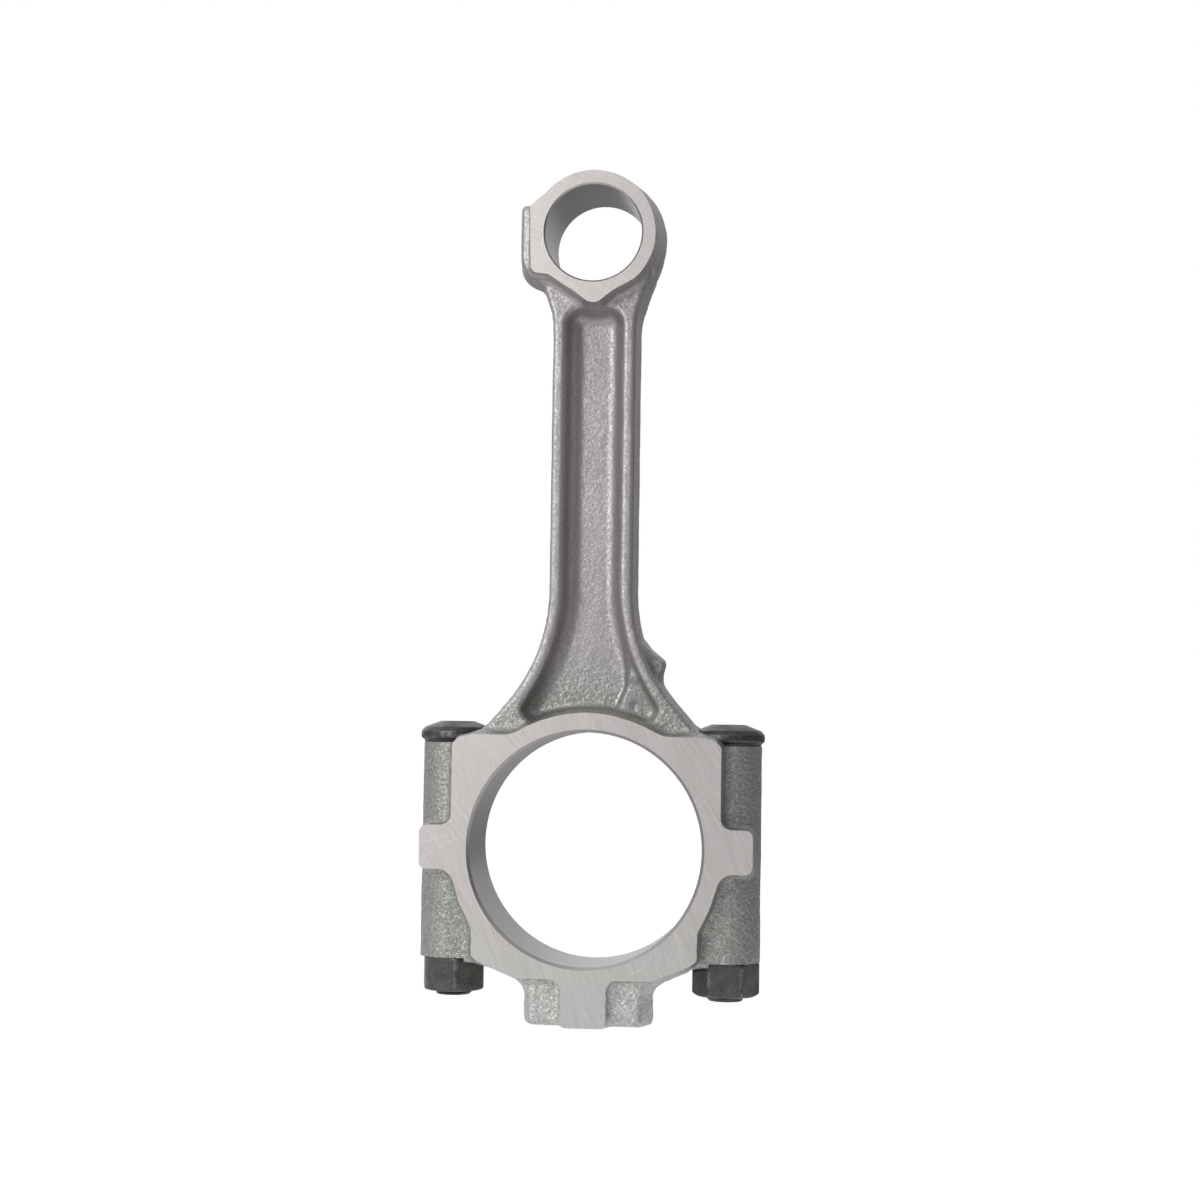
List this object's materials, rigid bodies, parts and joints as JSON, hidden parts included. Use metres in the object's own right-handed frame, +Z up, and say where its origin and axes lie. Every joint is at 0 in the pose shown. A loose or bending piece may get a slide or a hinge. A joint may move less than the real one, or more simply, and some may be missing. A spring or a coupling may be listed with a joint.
{
  "type": "connecting rod",
  "caption": "Forged I-beam connecting rod with a pressed-pin small end and a bolted two-piece big end: rod, bearing cap, rod bolts and hex nuts.",
  "frame": {"origin": "centre of the big end (crankpin) bore, half way through the rod's width", "axes": "+Z up the beam from the big end bore to the small end bore, +Y along both bores, +X towards the side of the beam with the forged nub"},
  "size_m": [0.0846, 0.027, 0.2086],
  "materials": {
    "forged_steel": "shot-blasted forging, ground end faces and bored holes",
    "bolt_steel": "black oxide, satin",
    "nut_steel": "oiled black-brown oxide"
  },
  "bodies": {
    "rod": {"rod_body": "forged_steel", "rod_bolt_left": "bolt_steel", "rod_bolt_right": "bolt_steel"},
    "cap": {"bearing_cap": "forged_steel"},
    "nut_left": {"rod_nut_left": "nut_steel"},
    "nut_right": {"rod_nut_right": "nut_steel"}
  },
  "joints": [
    {"name": "cap_slide", "type": "slide", "parent": "rod", "child": "cap", "axis": [0, 0, -1], "range_m": [0, 0.00846]},
    {"name": "nut_left_turn", "type": "hinge", "parent": "cap", "child": "nut_left", "pos_m": [-0.0334, 0, -0.027], "axis": [0, 0, -1], "range_deg": [0, 2880]},
    {"name": "nut_right_turn", "type": "hinge", "parent": "cap", "child": "nut_right", "pos_m": [0.0334, 0, -0.027], "axis": [0, 0, -1], "range_deg": [0, 2880]}
  ],
  "couplings": [
    {"joint": "nut_left_turn", "follows": "cap_slide", "rad_per_m": 5936.9},
    {"joint": "nut_right_turn", "follows": "cap_slide", "rad_per_m": 5936.9}
  ]
}
